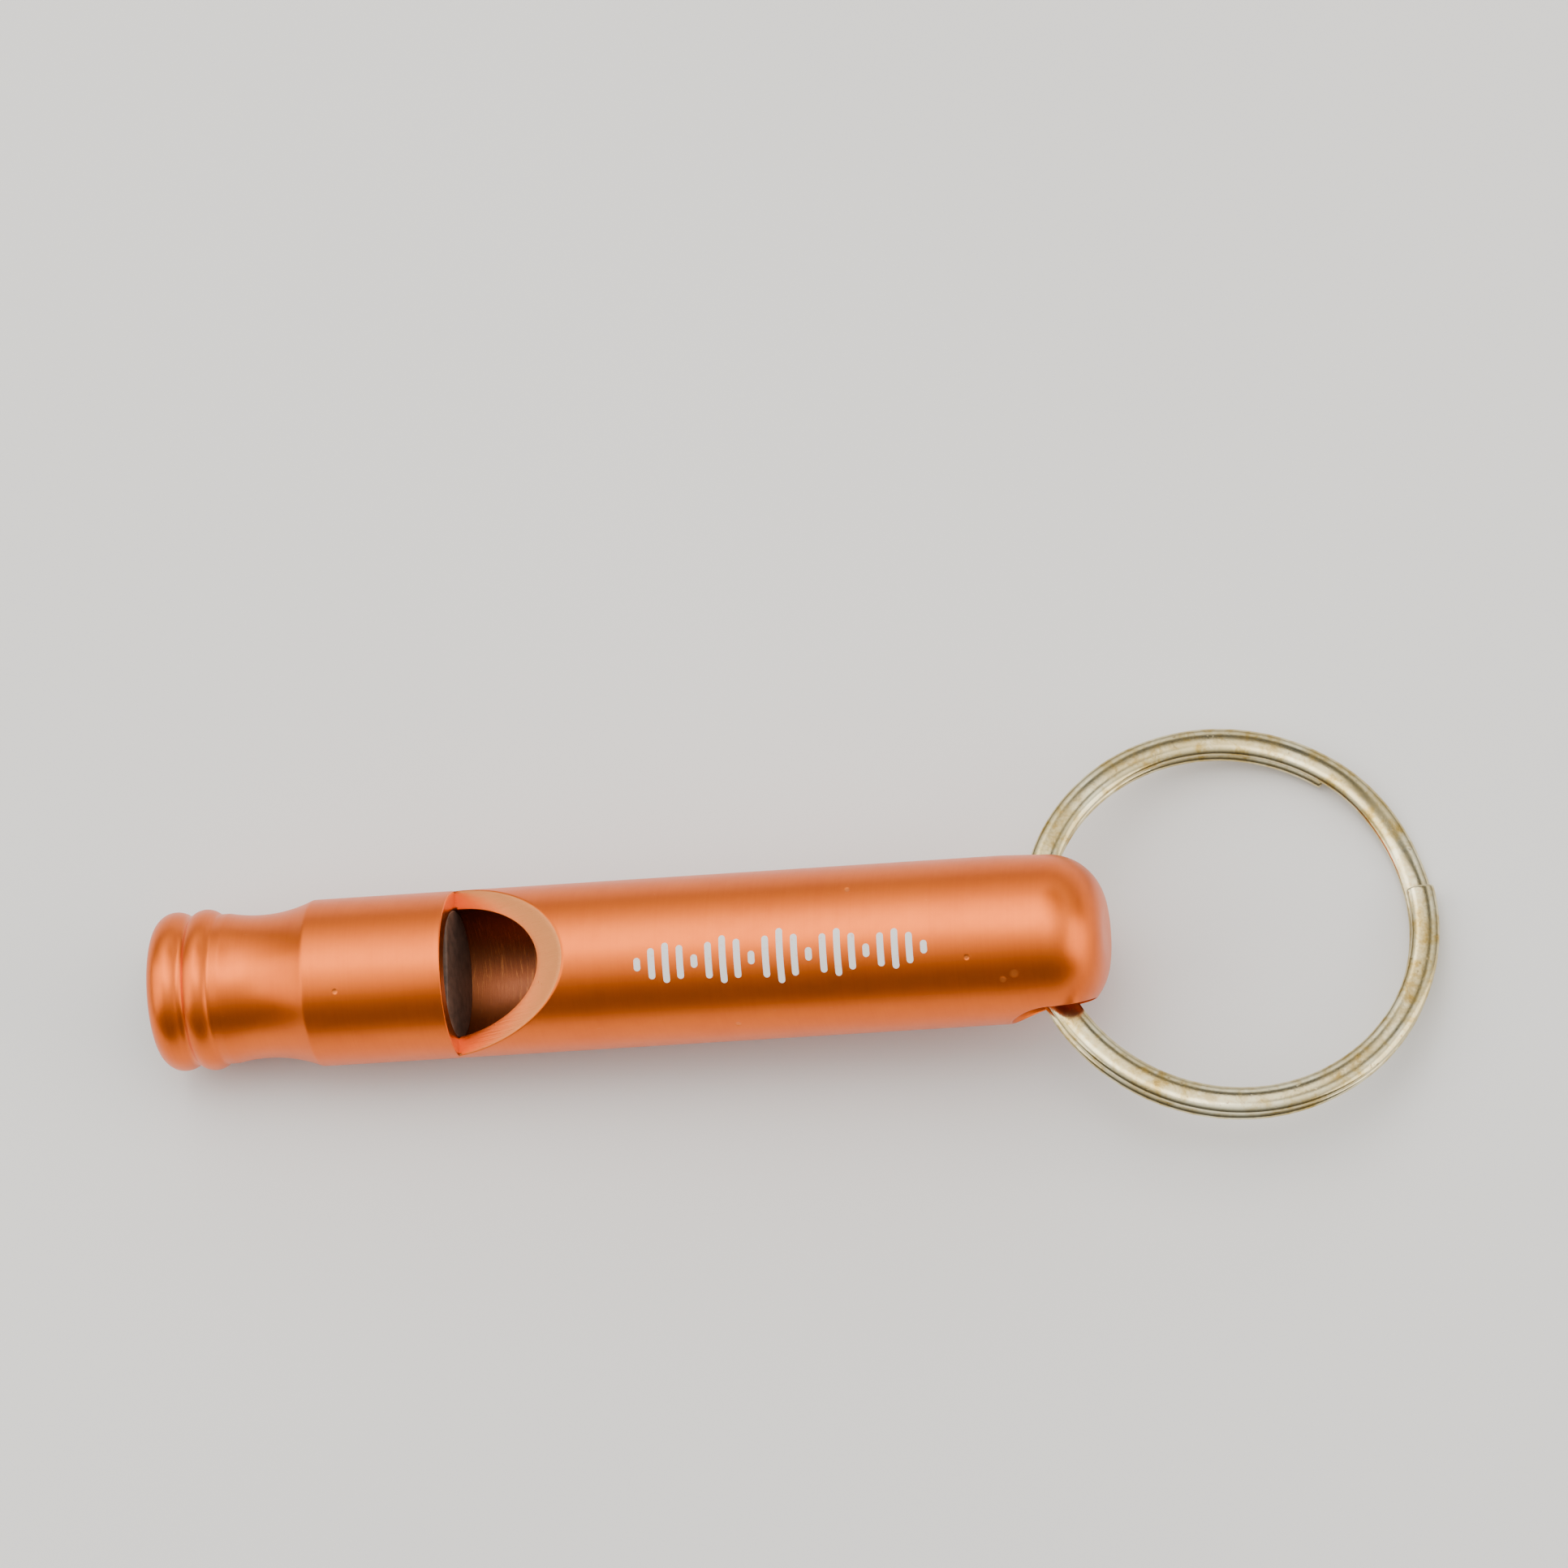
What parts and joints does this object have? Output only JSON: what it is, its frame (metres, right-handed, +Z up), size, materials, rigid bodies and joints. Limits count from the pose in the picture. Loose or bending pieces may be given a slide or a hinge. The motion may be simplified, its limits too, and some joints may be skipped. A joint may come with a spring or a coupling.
{
  "type": "tube whistle with split ring",
  "caption": "Slim turned tube whistle with a waisted mouthpiece, a sloped sound window, a pressed-in windway plug and a split ring that swings in a cross hole in its rounded tail.",
  "frame": {"origin": "on the barrel's axis, midway along the plain grip between the sound window's tip and the ring hole", "axes": "+X along the barrel from the mouthpiece to the tail, Y along the ring hole, +Z up through the sound window, which is turned 6 degrees about the barrel towards -Y"},
  "size_m": [0.0765, 0.0248, 0.014],
  "materials": {
    "anodised_barrel": "orange anodised, satin, fine turning lines",
    "plug": "taupe, matt",
    "ring_steel": "nickel-plated spring steel, bright with a yellow-brown tarnish"
  },
  "bodies": {
    "barrel": {"whistle_body": "anodised_barrel", "windway_plug": "plug"},
    "ring": {"split_ring": "ring_steel"}
  },
  "joints": [
    {"name": "ring_swing", "type": "hinge", "parent": "barrel", "child": "ring", "pos_m": [0.01545, 0, -0.001], "axis": [0, 1, 0], "range_deg": [-175, 145]}
  ]
}
